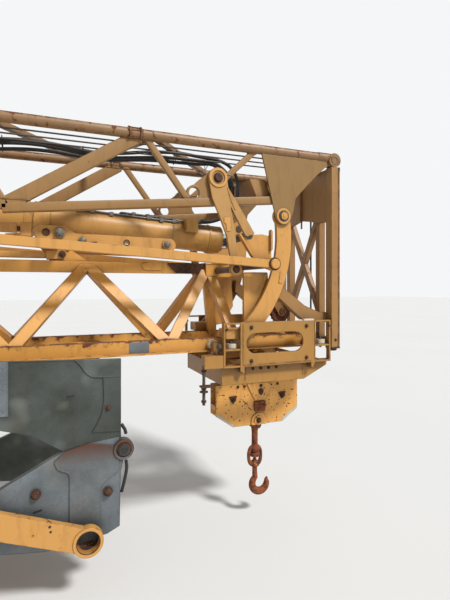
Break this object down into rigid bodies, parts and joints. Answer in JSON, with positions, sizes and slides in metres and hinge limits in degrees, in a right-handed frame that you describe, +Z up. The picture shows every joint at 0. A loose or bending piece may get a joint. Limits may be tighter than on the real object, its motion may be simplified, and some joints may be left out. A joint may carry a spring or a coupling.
{
  "type": "folded self-erecting tower crane",
  "caption": "Self-erecting tower crane folded for storage: lattice mast on top, jib root below it, trolley with hook block and hook, on a ballasted base with outriggers.",
  "frame": {"origin": "on the ground, under the middle of the crane's box", "axes": "+X points to the head of the mast, where the hook hangs, +Y to the far side and +Z up"},
  "size_m": [7.3, 1.9, 2.5609],
  "materials": {
    "yellow_paint": "weathered yellow enamel with rust at the edges",
    "orange_paint": "weathered orange-yellow enamel with rust runs",
    "galvanised": "dull hot-dip galvanising",
    "dark_steel": "greasy bare steel",
    "rusty_steel": "rusted forged steel",
    "rope_steel": "greased wire rope",
    "chrome_rod": "hard chrome",
    "hose_rubber": "matt rubber",
    "roller_plastic": "worn nylon",
    "cabinet_paint": "grey enamel",
    "concrete": "cast concrete"
  },
  "bodies": {
    "base": {"chassis": "galvanised", "outrigger_front": "yellow_paint", "outrigger_rear": "yellow_paint", "foot_pads": "galvanised", "front_brackets": "galvanised", "support_arms": "yellow_paint", "slew_ring": "dark_steel", "platform": "yellow_paint", "mast_posts": "yellow_paint", "ballast": "concrete", "winch": "dark_steel", "control_cabinet": "cabinet_paint", "jib_cradle": "yellow_paint"},
    "mast": {"mast_side_near": "yellow_paint", "mast_side_far": "yellow_paint", "mast_top_lacing": "yellow_paint", "mast_bottom_lacing": "yellow_paint", "mast_foot": "yellow_paint", "head_frame": "yellow_paint", "gussets": "yellow_paint", "curved_arms": "yellow_paint", "links": "yellow_paint", "quadrants": "yellow_paint", "tie_bars": "yellow_paint", "cylinder_barrel": "yellow_paint", "link_plates": "yellow_paint", "jib_apex": "yellow_paint", "jib_side_near": "yellow_paint", "jib_side_far": "yellow_paint", "jib_lacing": "yellow_paint", "head_sheaves": "dark_steel", "pivot_pins": "dark_steel", "cylinder_rod": "chrome_rod", "hoses": "hose_rubber"},
    "trolley": {"trolley_side_near": "yellow_paint", "trolley_side_far": "yellow_paint", "trolley_frame": "yellow_paint", "trolley_wheels": "roller_plastic", "trolley_sheaves": "dark_steel"},
    "hook_block": {"block_cheeks": "orange_paint", "block_sheaves": "dark_steel", "block_crosshead": "rusty_steel", "rope_falls": "rope_steel"},
    "hook": {"swivel_link": "rusty_steel", "hook": "rusty_steel"}
  },
  "joints": [
    {"name": "mast_raise", "type": "hinge", "parent": "base", "child": "mast", "pos_m": [-2.63, 0, 2.08], "axis": [0, -1, 0], "range_deg": [0, 88]},
    {"name": "trolley_travel", "type": "slide", "parent": "mast", "child": "trolley", "axis": [-1, 0, 0], "range_m": [0, 1.2]},
    {"name": "hoist", "type": "slide", "parent": "trolley", "child": "hook_block", "axis": [0, 0, -1], "range_m": [0, 0.12]},
    {"name": "hook_swivel", "type": "hinge", "parent": "hook_block", "child": "hook", "pos_m": [3.188, 0, 0.47], "axis": [0, 0, 1], "continuous": true}
  ]
}
